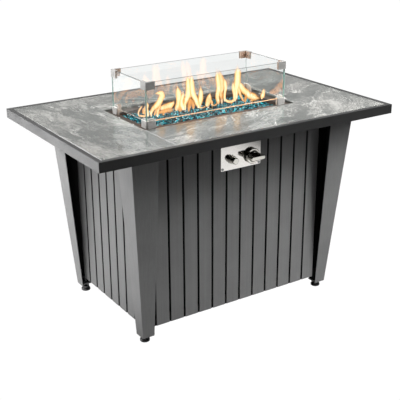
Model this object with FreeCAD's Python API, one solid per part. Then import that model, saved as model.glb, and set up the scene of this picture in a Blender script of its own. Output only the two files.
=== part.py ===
import FreeCAD, Part
import math
import os

os.makedirs("parts", exist_ok=True)
V = FreeCAD.Vector

# ---------------------------------------------------------------------------
# Rectangular gas fire pit table.  Millimetres, +Z up, origin on the ground
# under the middle of the table, long side along X, controls on the -Y side.
# ---------------------------------------------------------------------------
W = 1067.0            # table top length
D = 660.0             # table top depth
H = 655.0             # height of the table top
RAIL_H = 30.0         # height of the rail's outer face
RAIL_TOP = 16.0       # width of the rail's top flange round the stone
SHEET = 1.5           # rail sheet thickness
STONE_T = 8.0         # stone slab thickness
LEDGE = 34.0          # how far the rail's ledge reaches in under the stone
GAP = 0.3             # small assembly gap

REC_X = 281.0         # half length of the cut-out in the stone
REC_Y = 135.0         # half depth of the cut-out in the stone
PAN_X = 252.0         # half length of the burner pan, inside
PAN_Y = 100.0         # half depth of the burner pan, inside
PAN_Z0 = 588.0        # underside of the burner pan
PAN_T = 1.2
BED_TOP = 636.0       # top of the crushed glass
BURN_R = 10.0         # burner tube radius
BURN_Z = 628.0        # burner tube axis
BURN_L = 235.0        # burner tube half length

GG_X = 261.0          # outer face of the guard's end panes
GG_Y = 109.0          # outer face of the guard's long panes
GG_T = 5.0            # guard glass thickness
GG_Z0 = 669.0         # lower edge of the guard glass
GG_Z1 = 789.0         # upper edge of the guard glass
GUARD_Z = 648.5       # underside of the guard's foot brackets

BX = 351.0            # outer face of the end slats
BY = 229.0            # outer face of the front slats
PITCH = 52.7          # slat pitch
GROOVE = 6.5          # gap between slats, front and rear
GROOVE_SIDE = 8.6     # gap between the end slats
SLAT_T = 2.0
PANEL_Z0 = 50.0       # lower edge of the slats
PANEL_Z1 = 624.5      # upper edge of the slats
TUBE = 25.0           # square tube of the base frame and posts
WALL = 1.5

LEG_Z0 = 21.0         # lower end of the legs
LEG_Z1 = 625.5        # upper end of the legs
LEG_BX, LEG_BY = 365.4, 232.4   # leg corner at the lower end
LEG_TX, LEG_TY = 409.1, 278.6   # leg corner at the upper end
LEG_WB, LEG_WT = 41.0, 89.0     # wing width at the lower and upper end
LEG_T = 2.0
FOOT_X, FOOT_Y = 346.0, 209.0   # levelling foot centre

KNOB_X, KNOB_Z = 40.0, 544.0    # valve axis
IGN_X, IGN_Z = -35.0, 544.0     # igniter axis
PLATE_X = 75.0                  # control plate half width
PLATE_Z0, PLATE_Z1 = 511.0, 611.0
DOOR_X = 263.5        # hinge axis distance from the middle
HINGE_Y = 232.6       # hinge axis

nodes = {}


def box(x0, x1, y0, y1, z0, z1):
    return Part.makeBox(x1 - x0, y1 - y0, z1 - z0, V(x0, y0, z0))


def cyl(r, p, d, h):
    return Part.makeCylinder(r, h, V(*p), V(*d))


def fuse(shapes):
    s = shapes[0]
    if len(shapes) > 1:
        s = s.fuse(shapes[1:])
    return s.removeSplitter()


def prism(pts, z0, z1):
    w = Part.makePolygon([V(x, y, z0) for x, y in pts] + [V(pts[0][0], pts[0][1], z0)])
    return Part.Face(w).extrude(V(0, 0, z1 - z0))


def loft(pa, pb):
    wa = Part.makePolygon([V(*p) for p in pa] + [V(*pa[0])])
    wb = Part.makePolygon([V(*p) for p in pb] + [V(*pb[0])])
    return Part.makeLoft([wa, wb], True, True)


def mirror(s, x=False, y=False):
    if x:
        s = s.mirror(V(0, 0, 0), V(1, 0, 0))
    if y:
        s = s.mirror(V(0, 0, 0), V(0, 1, 0))
    return s


def four(s):
    return [s, mirror(s, x=True), mirror(s, y=True), mirror(s, x=True, y=True)]


def solids(shapes):
    out = []
    for s in shapes:
        out += s.Solids
    return Part.makeCompound(out)


def add(name, shape):
    nodes[name] = shape


def rounded(s, edges, r):
    return s.makeFillet(r, edges)


def vertical_edges(s, pred=None):
    out = []
    for e in s.Edges:
        if len(e.Vertexes) != 2:
            continue
        a, b = e.Vertexes[0].Point, e.Vertexes[1].Point
        if abs(a.x - b.x) < 1e-6 and abs(a.y - b.y) < 1e-6 and (pred is None or pred(a)):
            out.append(e)
    return out


def tube_path(pts, radii, r):
    # straight runs joined by tangent arcs, swept with a circle
    P = [V(*p) for p in pts]
    edges = []
    cur = P[0]
    for i in range(1, len(P) - 1):
        a = (P[i - 1] - P[i]).normalize()
        b = (P[i + 1] - P[i]).normalize()
        ang = math.acos(max(-1.0, min(1.0, a.dot(b))))
        turn = math.pi - ang
        R = radii[i - 1]
        d = R * math.tan(turn / 2)
        t1 = P[i] + a * d
        t2 = P[i] + b * d
        bis = (a + b).normalize()
        c = P[i] + bis * (R / math.cos(turn / 2))
        mid = c - bis * R
        edges.append(Part.LineSegment(cur, t1).toShape())
        edges.append(Part.Arc(t1, mid, t2).toShape())
        cur = t2
    edges.append(Part.LineSegment(cur, P[-1]).toShape())
    w = Part.Wire(edges)
    d0 = (P[1] - P[0]).normalize()
    prof = Part.Wire([Part.makeCircle(r, P[0], d0)])
    s = w.makePipeShell([prof], True, False)
    print("tube", round(s.Volume, 1), "expected", round(math.pi * r * r * w.Length, 1), "length", round(w.Length, 1))
    return s


# ---------------------------------------------------------------------------
# Table top: four folded rails with mitred corners
# ---------------------------------------------------------------------------
Z0 = H - RAIL_H
STONE_Z = H - STONE_T
prof = [(0, 0), (18, 0), (18, SHEET), (SHEET, SHEET), (SHEET, RAIL_H - SHEET),
        (RAIL_TOP - SHEET, RAIL_H - SHEET), (RAIL_TOP - SHEET, RAIL_H - STONE_T - SHEET),
        (LEDGE, RAIL_H - STONE_T - SHEET), (LEDGE, RAIL_H - STONE_T),
        (RAIL_TOP, RAIL_H - STONE_T), (RAIL_TOP, RAIL_H), (0, RAIL_H)]
rail_front = loft([(-W / 2 + u, -D / 2 + u, Z0 + v) for u, v in prof],
                  [(W / 2 - u, -D / 2 + u, Z0 + v) for u, v in prof])
rail_left = loft([(-W / 2 + u, -D / 2 + u, Z0 + v) for u, v in prof],
                 [(-W / 2 + u, D / 2 - u, Z0 + v) for u, v in prof])
add("top_rail_front", rail_front)
add("top_rail_rear", mirror(rail_front, y=True))
add("top_rail_left", rail_left)
add("top_rail_right", mirror(rail_left, x=True))

# flat corner plates inside the rails
cx, cy = W / 2 - 2.5, D / 2 - 2.5
arm = prism([(cx, cy), (cx - 75, cy), (cx - 75, cy - 14), (cx - 14, cy - 14),
             (cx - 14, cy - 75), (cx, cy - 75)], Z0 + SHEET, Z0 + SHEET + 2.5)
for hx, hy in ((cx - 30, cy - 7), (cx - 60, cy - 7), (cx - 7, cy - 30), (cx - 7, cy - 60)):
    arm = arm.cut(cyl(2.1, (hx, hy, Z0), (0, 0, 1), 10))
add("rail_corner_brackets", solids(four(arm)))

# ---------------------------------------------------------------------------
# Stone top in four slabs round the cut-out
# ---------------------------------------------------------------------------
SX, SY = W / 2 - RAIL_TOP - 0.5, D / 2 - RAIL_TOP - 0.5
jg = 0.4


def slab(x0, x1, y0, y1):
    s = box(x0, x1, y0, y1, STONE_Z, H - 0.2)
    top = [e for e in s.Edges if all(abs(v.Z - (H - 0.2)) < 1e-6 for v in e.Vertexes)]
    return s.makeChamfer(0.6, top)


add("stone_left", slab(-SX, -REC_X - jg / 2, -SY, SY))
add("stone_right", slab(REC_X + jg / 2, SX, -SY, SY))
add("stone_front", slab(-REC_X + jg / 2, REC_X - jg / 2, -SY, -REC_Y))
add("stone_rear", slab(-REC_X + jg / 2, REC_X - jg / 2, REC_Y, SY))

# ---------------------------------------------------------------------------
# Welded sub-frame under the stone: folded channels, open downwards
# ---------------------------------------------------------------------------
SUB0 = 625.5
SUB1 = STONE_Z - SHEET      # under the rails' ledge
LX = 512.0                  # half length of the long bars


def channel_x(x0, x1, yc, z0, z1):
    return box(x0, x1, yc - 12.5, yc + 12.5, z0, z1).cut(
        box(x0 - 1, x1 + 1, yc - 12.5 + WALL, yc + 12.5 - WALL, z0 - 1, z1 - WALL))


def channel_y(y0, y1, xc, z0, z1):
    return box(xc - 12.5, xc + 12.5, y0, y1, z0, z1).cut(
        box(xc - 12.5 + WALL, xc + 12.5 - WALL, y0 - 1, y1 + 1, z0 - 1, z1 - WALL))


sub = []
for s in (-1, 1):
    sub.append(channel_x(-LX, LX, s * 262.0, SUB0, SUB1))
    sub.append(channel_y(-274.5, 274.5, s * 281.5, SUB0, STONE_Z))
    sub.append(channel_x(-270.0, 270.0, s * 135.5, SUB0, STONE_Z))
# angle ring that the slats are fastened to
ring = box(-349, 349, -227, 227, 600.5, SUB0).cut(box(-347.5, 347.5, -225.5, 225.5, 600, SUB0 + 1))
flange = box(-349, 349, -227, 227, SUB0 - WALL, SUB0).cut(box(-329, 329, -207, 207, SUB0 - 5, SUB0 + 1))
sub += [ring, flange]
subframe = sub[0].fuse(sub[1:]).removeSplitter()
add("top_subframe", subframe)

# ---------------------------------------------------------------------------
# Burner pan, tube burner, air mixer
# ---------------------------------------------------------------------------
FX, FY = REC_X - 1.5, REC_Y - 1.5       # pan flange, outside
FZ = STONE_Z                            # flange rests on the sub-frame
ox, oy = PAN_X + PAN_T, PAN_Y + PAN_T
pan = box(-ox, ox, -oy, oy, PAN_Z0, FZ + PAN_T).fuse(box(-FX, FX, -FY, FY, FZ, FZ + PAN_T))
pan = pan.cut(box(-PAN_X, PAN_X, -PAN_Y, PAN_Y, PAN_Z0 + PAN_T, FZ + 10))
pan = pan.cut(cyl(9.4, (0, 0, PAN_Z0 - 1), (0, 0, 1), 5))
for px in (45.0, 64.0):
    pan = pan.cut(cyl(5.0, (px, 27.0, PAN_Z0 - 1), (0, 0, 1), 5))
PAN_SCREWS = [(sx * 274.5, sy * 45.0) for sx in (-1, 1) for sy in (-1, 1)] + \
             [(sx * 150.0, sy * 128.5) for sx in (-1, 1) for sy in (-1, 1)]
for px, py in PAN_SCREWS:
    pan = pan.cut(cyl(2.2, (px, py, FZ - 1), (0, 0, 1), 5))
for sx in (-1, 1):                       # drain holes
    for sy in (-1, 1):
        pan = pan.cut(cyl(4.0, (sx * 225.0, sy * 80.0, PAN_Z0 - 1), (0, 0, 1), 5))
pan = pan.removeSplitter()
add("burner_pan", pan)

tube = cyl(BURN_R, (-BURN_L, 0, BURN_Z), (1, 0, 0), 2 * BURN_L)
tube = tube.fuse([cyl(9.0, (0, 0, PAN_Z0 - 6), (0, 0, 1), BURN_Z - PAN_Z0)])
for sx in (-1, 1):
    tube = tube.fuse([box(sx * 200 - 1.5, sx * 200 + 1.5, -14, 14, PAN_Z0 + PAN_T, BURN_Z)])
tube = tube.cut(cyl(BURN_R - 1.5, (-BURN_L + 2, 0, BURN_Z), (1, 0, 0), 2 * BURN_L - 4))
tube = tube.cut(cyl(6.5, (0, 0, PAN_Z0 - 8), (0, 0, 1), BURN_Z - PAN_Z0 + 8))
ports = []
for i in range(-14, 15):
    ports.append(cyl(1.5, (i * 16.0, 0, BURN_Z), (0, 0, 1), BURN_R + 4))
tube = tube.cut(ports)
add("burner_tube", tube.removeSplitter())

MX0 = 534.0
mixer = cyl(13.0, (0, 0, MX0), (0, 0, 1), PAN_Z0 - 6 - MX0).fuse(
    cyl(16.0, (0, 0, PAN_Z0 - 18), (0, 0, 1), 12))
mixer = mixer.cut(cyl(8.0, (0, 0, MX0 + 10), (0, 0, 1), 80))
mixer = mixer.cut(box(-20, 20, -5, 5, MX0 + 16, MX0 + 32))
mixer = mixer.cut(cyl(1.2, (0, 0, MX0 - 1), (0, 0, 1), 20))
add("air_mixer", mixer.removeSplitter())

# crushed glass that fills the pan round the burner
bed = box(-PAN_X + 0.8, PAN_X - 0.8, -PAN_Y + 0.8, PAN_Y - 0.8, PAN_Z0 + PAN_T + 0.2, BED_TOP)
bed = bed.cut([cyl(BURN_R + 0.5, (-BURN_L - 0.5, 0, BURN_Z), (1, 0, 0), 2 * BURN_L + 1),
               box(-BURN_L - 0.5, BURN_L + 0.5, -BURN_R - 0.5, BURN_R + 0.5, BURN_Z, BED_TOP + 5),
               cyl(9.6, (0, 0, PAN_Z0), (0, 0, 1), BURN_Z - PAN_Z0),
               box(-202.2, -197.8, -14.6, 14.6, PAN_Z0, BURN_Z),
               box(197.8, 202.2, -14.6, 14.6, PAN_Z0, BURN_Z),
               box(36, 73, 10, 42, PAN_Z0, BED_TOP + 5)])
add("fire_glass_bed", bed.removeSplitter())

# pilot bracket with spark electrode and flame probe beside the burner
PB_Y = 34.0
br = box(38, 71, PB_Y, PB_Y + 1.5, PAN_Z0 + PAN_T, 632).fuse(
    [box(38, 71, PB_Y - 12, PB_Y + 1.5, 616, 617.5), box(38, 71, PB_Y, PB_Y + 7.5, PAN_Z0 + PAN_T, PAN_Z0 + PAN_T + 1.5)])
br = br.cut([cyl(3.8, (45, 27, 610), (0, 0, 1), 12), cyl(2.8, (64, 27, 610), (0, 0, 1), 12)])
add("pilot_bracket", br.removeSplitter())
wire = tube_path([(45, 27, 620), (45, 27, 640), (45, 16.2, 640)], [3.0], 1.2)
el = cyl(3.5, (45, 27, 576), (0, 0, 1), 52).fuse([cyl(4.6, (45, 27, 618), (0, 0, 1), 4), wire])
add("spark_electrode", el.removeSplitter())

# ---------------------------------------------------------------------------
# Control plate, valve, knob and igniter
# ---------------------------------------------------------------------------
PF = -BY - 1.5                          # front face of the control plate
plate = box(-PLATE_X, PLATE_X, PF, -BY, PLATE_Z0, PLATE_Z1)
plate = plate.makeFillet(3.0, [e for e in plate.Edges if len(e.Vertexes) == 2 and
                               abs(e.Vertexes[0].X - e.Vertexes[1].X) < 1e-6 and
                               abs(e.Vertexes[0].Z - e.Vertexes[1].Z) < 1e-6])
plate = plate.cut([cyl(6.5, (KNOB_X, PF - 1, KNOB_Z), (0, 1, 0), 5),
                   cyl(11.4, (IGN_X, PF - 1, IGN_Z), (0, 1, 0), 5)])
PLATE_SCREWS = [(sx * 69.0, z) for sx in (-1, 1) for z in (PLATE_Z0 + 6, PLATE_Z1 - 6)]
plate = plate.cut([cyl(2.2, (x, PF - 1, z), (0, 1, 0), 5) for x, z in PLATE_SCREWS])
add("control_plate", plate)

VY0, VY1 = -227.0, -182.0
valve = box(KNOB_X - 20, KNOB_X + 20, VY0, VY1, KNOB_Z - 21, KNOB_Z + 21)
valve = valve.makeFillet(4.0, [e for e in valve.Edges if len(e.Vertexes) == 2 and
                               abs(e.Vertexes[0].X - e.Vertexes[1].X) < 1e-6 and
                               abs(e.Vertexes[0].Z - e.Vertexes[1].Z) < 1e-6])
ears = box(KNOB_X - 28, KNOB_X + 27, -BY, -BY + 3, KNOB_Z - 8, KNOB_Z + 8)
valve = valve.fuse([ears, box(KNOB_X - 15, KNOB_X + 15, -BY, VY0 + 1, KNOB_Z - 14, KNOB_Z + 14),
                    cyl(7.9, (KNOB_X, -203, KNOB_Z - 21), (0, 0, -1), 20),
                    cyl(10.5, (KNOB_X, -203, KNOB_Z - 21), (0, 0, -1), 5),
                    cyl(7.0, (KNOB_X, VY1, KNOB_Z), (0, 1, 0), 8),
                    cyl(5.0, (KNOB_X + 20, -200, KNOB_Z + 6), (1, 0, 0), 8)])
valve = valve.cut([cyl(8.05, (KNOB_X, -BY - 1, KNOB_Z), (0, 1, 0), -196.0 + BY + 1),
                   cyl(3.0, (KNOB_X, -203, KNOB_Z - 42), (0, 0, 1), 36),
                   cyl(2.5, (KNOB_X, -190, KNOB_Z), (0, 1, 0), 20)])
add("valve_body", valve.removeSplitter())

plug = cyl(8.0, (KNOB_X, -226.0, KNOB_Z), (0, 1, 0), 29.5)
plug = plug.cut([cyl(4.05, (KNOB_X, -227.0, KNOB_Z), (0, 1, 0), 24),
                 cyl(2.0, (KNOB_X, -203, KNOB_Z - 10), (0, 0, 1), 10)])
add("valve_plug", plug)
stem = cyl(4.0, (KNOB_X, -262.0, KNOB_Z), (0, 1, 0), 54.0)
stem = stem.cut(box(KNOB_X - 5, KNOB_X + 5, -263, -236, KNOB_Z + 2.9, KNOB_Z + 6))
add("valve_stem", stem)

KB = -235.2                             # back face of the knob's skirt
sk = cyl(25.0, (KNOB_X, KB, KNOB_Z), (0, -1, 0), 7.0)
sk = sk.makeChamfer(1.5, [e for e in sk.Edges if abs(e.BoundBox.YMin - (KB - 7)) < 1e-6 and e.BoundBox.YLength < 1e-6])
boss = Part.makeCone(19.0, 15.0, 7.0, V(KNOB_X, KB - 7, KNOB_Z), V(0, -1, 0))
grip = box(KNOB_X - 26, KNOB_X + 26, KB - 33, KB - 8, KNOB_Z - 7, KNOB_Z + 7)
grip = grip.makeFillet(5.5, [e for e in grip.Edges if len(e.Vertexes) == 2 and
                             abs(e.Vertexes[0].X - e.Vertexes[1].X) < 1e-6 and
                             abs(e.Vertexes[0].Z - e.Vertexes[1].Z) < 1e-6])
grip = grip.makeFillet(2.0, [e for e in grip.Edges if abs(e.BoundBox.YMin - (KB - 33)) < 1e-6 and e.BoundBox.YLength < 1e-6])
knob = sk.fuse([boss, grip]).removeSplitter()
bore = cyl(4.05, (KNOB_X, KB + 1, KNOB_Z), (0, -1, 0), 29)
knob = knob.cut(bore)
add("control_knob", knob)

bez = cyl(14.5, (IGN_X, PF, IGN_Z), (0, -1, 0), 3.0).fuse(cyl(12.5, (IGN_X, PF, IGN_Z), (0, -1, 0), 17.0))
bez = bez.cut(cyl(10.4, (IGN_X, PF + 1, IGN_Z), (0, -1, 0), 20))
add("igniter_bezel", bez.removeSplitter())
btn = cyl(10.0, (IGN_X, PF - 24.0, IGN_Z), (0, 1, 0), 16.0)
btn = btn.makeFillet(1.5, [e for e in btn.Edges if abs(e.BoundBox.YMin - (PF - 24.0)) < 1e-6 and e.BoundBox.YLength < 1e-6])
btn = btn.cut(cyl(7.5, (IGN_X, PF - 22.0, IGN_Z), (0, 1, 0), 20))
add("igniter_button", btn)
body = cyl(11.0, (IGN_X, -BY + 0.2, IGN_Z), (0, 1, 0), 50.0).fuse(
    [cyl(13.5, (IGN_X, -BY + 0.2, IGN_Z), (0, 1, 0), 4.0),
     cyl(3.0, (IGN_X, -BY + 50, IGN_Z), (0, 1, 0), 7.0)])
body = body.cut(cyl(6.8, (IGN_X, -BY - 1, IGN_Z), (0, 1, 0), 13.0))
add("igniter_body", body.removeSplitter())
# coil spring between the button and the igniter body
sp_y0, sp_y1 = PF - 20.9, -BY + 5.2
turns = 5
helix = Part.makeHelix((sp_y1 - sp_y0) / turns, sp_y1 - sp_y0, 5.2)
sec = Part.Wire([Part.makeCircle(0.6, V(5.2, 0, 0), V(0, 1, 0))])
spring = Part.Wire(helix).makePipeShell([sec], True, True)
spring.rotate(V(0, 0, 0), V(1, 0, 0), -90)
spring.translate(V(IGN_X, sp_y0, IGN_Z))
add("igniter_spring", spring)

# ---------------------------------------------------------------------------
# Leads and gas feed, clipped between the controls and the burner
# ---------------------------------------------------------------------------
add("gas_feed_pipe", tube_path([(KNOB_X, VY1 + 8.0, KNOB_Z), (KNOB_X, -135, KNOB_Z), (8, -45, 508), (0, 0, 500), (0, 0, MX0)],
                               [25, 30, 14], 5.0))
add("igniter_lead", tube_path([(45, 27, 576), (45, 27, 568), (45, -112, 568), (-40, -140, 562), (IGN_X, -150, IGN_Z), (IGN_X, -BY + 57, IGN_Z)],
                              [3.4, 12, 5, 6], 1.6))
probe = tube_path([(64, 27, 634), (64, 27, 568), (64, -112, 568), (72, -165, 562), (KNOB_X + 38, -200, KNOB_Z + 6), (KNOB_X + 28, -200, KNOB_Z + 6)],
                  [8, 15, 8, 4], 1.5)
probe = probe.fuse(cyl(2.6, (64, 27, 606), (0, 0, 1), 34))
add("thermocouple", probe.removeSplitter())

# heat shield hung under the pan on four legs
sh = box(-225, 225, -92, 92, 556.0, 557.2)
for s in (-1, 1):
    sh = sh.fuse([box(-225, 225, s * 92 - (1.2 if s > 0 else 0), s * 92 + (0 if s > 0 else 1.2), 546.0, 557.2)])
    for t in (-1, 1):
        sh = sh.fuse([box(s * 215 - 8, s * 215 + 8, t * 60 - 0.75, t * 60 + 0.75, 557.2, PAN_Z0)])
sh = sh.cut([cyl(17.0, (0, 0, 550), (0, 0, 1), 12), box(30, 80, 12, 42, 550, 560)])
add("heat_shield", sh.removeSplitter())

# ---------------------------------------------------------------------------
# Glass wind guard
# ---------------------------------------------------------------------------
gf = box(-GG_X, GG_X, -GG_Y, -GG_Y + GG_T, GG_Z0, GG_Z1)
gs = box(-GG_X, -GG_X + GG_T, -GG_Y + GG_T + GAP, GG_Y - GG_T - GAP, GG_Z0, GG_Z1)
add("guard_glass_front", gf)
add("guard_glass_rear", mirror(gf, y=True))
add("guard_glass_left", gs)
add("guard_glass_right", mirror(gs, x=True))


def corner_l(x, y, la, lb, w, z0, z1):
    # L-shaped block at the +x +y corner, outer faces at x and y
    return prism([(x, y), (x - la, y), (x - la, y - w), (x - w, y - w), (x - w, y - lb), (x, y - lb)], z0, z1)


ct, ci = 2.0, 2.0
w = ct + GG_T + ci
clip = corner_l(GG_X + ct, GG_Y + ct, 32, 32, w, GG_Z1 - 22.5, GG_Z1 + 1.5)
clip = clip.makeFillet(2.5, vertical_edges(clip, lambda p: abs(p.x - GG_X - ct) < 1e-6 and abs(p.y - GG_Y - ct) < 1e-6))
cut = corner_l(GG_X + 0.02, GG_Y + 0.02, 80, 80, GG_T + 0.04, GG_Z1 - 30, GG_Z1 + 0.02)
clip = clip.cut(cut)
# two set screws press each clip's inner plates on the panes
SCREW_R = 3.0
SCREW_Z = GG_Z1 - 11.5
ix, iy = GG_X + ct - w, GG_Y + ct - w     # inner faces of the clip
mx, my = (ix + GG_X + ct - 32) / 2, (iy + GG_Y + ct - 32) / 2
clip = clip.cut([cyl(SCREW_R + 0.03, (mx, iy - 1, SCREW_Z), (0, 1, 0), ci + 1.02),
                 cyl(SCREW_R + 0.03, (ix - 1, my, SCREW_Z), (1, 0, 0), ci + 1.02)])


def set_screw(p, d):
    # flush tip towards the pane, hexagon socket towards the inside
    a = V(*d)
    s = Part.makeCylinder(SCREW_R, ci + 0.6, V(*p), a)
    ref = V(0, 0, 1)
    side = a.cross(ref)
    pts = [V(*p) - a * 0.1 + (ref * math.cos(k * math.pi / 3) + side * math.sin(k * math.pi / 3)) * 1.75 for k in range(6)]
    return s.cut(Part.Face(Part.makePolygon(pts + [pts[0]])).extrude(a * 1.7))


screws = [set_screw((mx, iy - 0.65, SCREW_Z), (0, 1, 0)), set_screw((ix - 0.65, my, SCREW_Z), (1, 0, 0))]
add("guard_top_clips", solids(four(clip) + four(screws[0]) + four(screws[1])))

ft, fi = 3.0, 3.0
w = ft + GG_T + fi
FOOT_L = 34.0          # arm length
FOOT_R = 8.0           # rounding of the arms' upper corners
F_OUT = 671.5          # top of the low lip outside the panes
fx_end, fy_end, f_top = GG_X + ft - FOOT_L, GG_Y + ft - FOOT_L, GG_Z0 + 8.5
foot = corner_l(GG_X + ft, GG_Y + ft, FOOT_L, FOOT_L, w, GUARD_Z, f_top)
foot = foot.makeFillet(7.5, vertical_edges(foot, lambda p: abs(p.x - GG_X - ft) < 1e-6 and abs(p.y - GG_Y - ft) < 1e-6))
ends = vertical_edges(foot, lambda p: abs(p.x - fx_end) < 1e-6 or abs(p.y - fy_end) < 1e-6)
foot = foot.makeFillet(3.5, ends)
round_x = box(fx_end - 1, fx_end + FOOT_R, GG_Y + ft - w - 1, GG_Y + ft + 1, f_top - FOOT_R, f_top + 1).cut(
    cyl(FOOT_R, (fx_end + FOOT_R, GG_Y + ft - w - 2, f_top - FOOT_R), (0, 1, 0), w + 4))
round_y = box(GG_X + ft - w - 1, GG_X + ft + 1, fy_end - 1, fy_end + FOOT_R, f_top - FOOT_R, f_top + 1).cut(
    cyl(FOOT_R, (GG_X + ft - w - 2, fy_end + FOOT_R, f_top - FOOT_R), (1, 0, 0), w + 4))
lip = corner_l(GG_X + ft + 1, GG_Y + ft + 1, 80, 80, ft + 1.02, F_OUT, f_top + 5)
foot = foot.cut([round_x, round_y, lip])
cut = corner_l(GG_X + 0.02, GG_Y + 0.02, 80, 80, GG_T + 0.04, GG_Z0 - 0.02, GG_Z0 + 20)
add("guard_foot_brackets", solids(four(foot.cut(cut))))

# ---------------------------------------------------------------------------
# Base frame, posts, slats and liners
# ---------------------------------------------------------------------------
RX, RY = BX - SLAT_T, BY - SLAT_T       # outer faces of the frame


def tube_bar_x(x0, x1, yc, zc):
    h = TUBE / 2
    return box(x0, x1, yc - h, yc + h, zc - h, zc + h).cut(
        box(x0 - 1, x1 + 1, yc - h + WALL, yc + h - WALL, zc - h + WALL, zc + h - WALL))


def tube_bar_y(y0, y1, xc, zc):
    h = TUBE / 2
    return box(xc - h, xc + h, y0, y1, zc - h, zc + h).cut(
        box(xc - h + WALL, xc + h - WALL, y0 - 1, y1 + 1, zc - h + WALL, zc + h - WALL))


bars = []
for s in (-1, 1):
    bars.append(tube_bar_x(-RX, RX, s * (RY - 12.5), 62.5))
    b = tube_bar_y(-RY + TUBE, RY - TUBE, s * (RX - 12.5), 62.5)
    # relief where the end tube meets the front tube keeps both hollow
    bars.append(b)
stub = box(323.5, 340.0, 203.0, 225.0, 29.0, 50.0).cut(box(325.0, 338.5, 204.5, 223.5, 28.0, 48.5))
stub = stub.cut(cyl(3.0, (331.0, 214.0, 28), (0, 0, 1), 30))
base = bars[0].fuse(bars[1:] + four(stub)).removeSplitter()
vents = []
for s in (-1, 1):
    for t in (-1, 1):
        vents.append(cyl(6.0, (s * (RX - 12.5), t * (RY - TUBE - 18), 40), (0, 0, 1), 12))
base = base.cut(vents)
add("base_frame", base)



def leg_at(z):
    # outer corner of a leg and the width of its wings at height z
    k = (z - LEG_Z0) / (LEG_Z1 - LEG_Z0)
    return (LEG_BX + (LEG_TX - LEG_BX) * k, LEG_BY + (LEG_TY - LEG_BY) * k,
            LEG_WB + (LEG_WT - LEG_WB) * k)


# each post carries a flat black web that fills the space behind its leg
WEB_T = 2.0
WEB_Z0, WEB_Z1 = 75.5, 600.0
post = box(322, 347, 200, 225, 75, SUB0 - WALL).cut(box(323.5, 345.5, 201.5, 223.5, 74, 700))
lean = V(LEG_TX - LEG_BX, LEG_TY - LEG_BY, 0).normalize()
across = V(-lean.y, lean.x, 0) * (WEB_T / 2)


def web_outline(z):
    x, y, _ = leg_at(z)
    out = V(x - LEG_T, y - LEG_T, z) - lean * 1.9
    inn = out - lean * ((out.x - 346.4) / lean.x)
    return [tuple(inn - across), tuple(out - across), tuple(out + across), tuple(inn + across)]


web = loft(web_outline(WEB_Z0), web_outline(WEB_Z1))
post = post.fuse([web]).removeSplitter()
add("corner_posts", solids(four(post)))


def slat_x(xc, y0, y1, z0=PANEL_Z0, z1=PANEL_Z1):
    s = box(xc - (PITCH - GROOVE) / 2, xc + (PITCH - GROOVE) / 2, y0, y1, z0, z1)
    return s


def soften(s, face):
    # small round on the long outer edges
    pick = [e for e in vertical_edges(s) if face(e.Vertexes[0].Point)]
    return s.makeFillet(0.8, pick)


HOLE = (-68.0, 68.0, 517.5, 604.5)
front = []
for i in range(12):
    xc = (i - 5.5) * PITCH
    s = soften(slat_x(xc, -BY, -BY + SLAT_T), lambda p: abs(p.y + BY) < 1e-6)
    front.append(s.cut(box(HOLE[0], HOLE[1], -BY - 1, -BY + 5, HOLE[2], HOLE[3])))
front = [f.cut([cyl(1.6, (x, -BY - 1, z), (0, 1, 0), 5) for x, z in PLATE_SCREWS]) for f in front]
add("front_slats", solids(front))
side = []
for i in range(8):
    yc = (i - 3.5) * PITCH
    s = box(-BX, -BX + SLAT_T, yc - (PITCH - GROOVE_SIDE) / 2, yc + (PITCH - GROOVE_SIDE) / 2, PANEL_Z0, PANEL_Z1)
    side.append(soften(s, lambda p: abs(p.x + BX) < 1e-6))
add("left_slats", solids(side))
add("right_slats", solids([mirror(s, x=True) for s in side]))
rear = []
for i in (0, 11):
    xc = (i - 5.5) * PITCH
    rear.append(soften(slat_x(xc, BY - SLAT_T, BY), lambda p: abs(p.y - BY) < 1e-6))
add("rear_slats", solids(rear))

# black liner sheets behind the slats
lin = [box(-321, 321, -217.0, -216.0, 77.5, 598).cut(box(-72, 72, -218, -215, 505, 599))]
for s in (-1, 1):
    x0, x1 = sorted((s * 339.0, s * 338.0))
    lin.append(box(x0, x1, -199, 199, 77.5, 598))
add("panel_liners", solids(lin))

# ---------------------------------------------------------------------------
# Base shelf with the gas bottle ring
# ---------------------------------------------------------------------------
TANK_X = -165.0
shelf = box(-346, 346, -224, 224, 75.0, 76.5)
for s in four(box(321.0, 350, 199.0, 230, 74, 78)):
    shelf = shelf.cut(s)
ringt = cyl(161.5, (TANK_X, 0, 76.5), (0, 0, 1), 20).cut(cyl(160.0, (TANK_X, 0, 70), (0, 0, 1), 40))
shelf = shelf.fuse([ringt])
holes = [cyl(12.0, (TANK_X + dx, dy, 70), (0, 0, 1), 10) for dx in (-80, 0, 80) for dy in (-80, 0, 80)]
holes += [cyl(12.0, (170 + dx, dy, 70), (0, 0, 1), 10) for dx in (-80, 0, 80) for dy in (-100, 0, 100)]
add("base_shelf", shelf.cut(holes).removeSplitter())

# ---------------------------------------------------------------------------
# Access door at the rear
# ---------------------------------------------------------------------------
DX = 262.0
DZ0, DZ1 = 77.5, 598.0
DY1 = BY - SLAT_T + 0.4                 # outer face of the door sheet
DY0 = 213.2
door = box(-DX, DX, DY0, DY1, DZ0, DZ1).cut(box(-DX + 1.2, DX - 1.2, DY0 - 1, DY1 - 1.2, DZ0 + 1.2, DZ1 - 1.2))
door = door.fuse([box(-DX, DX, DY0, DY0 + 1.2, DZ1 - 14, DZ1), box(-DX, DX, DY0, DY0 + 1.2, DZ0, DZ0 + 14)])
add("door_sheet", door.removeSplitter())
ds = []
for i in range(1, 11):
    xc = (i - 5.5) * PITCH
    ds.append(soften(slat_x(xc, DY1, DY1 + SLAT_T, PANEL_Z0, PANEL_Z1 - 0.5), lambda p: abs(p.y - DY1 - SLAT_T) < 1e-6))
add("door_slats", solids(ds))

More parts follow.
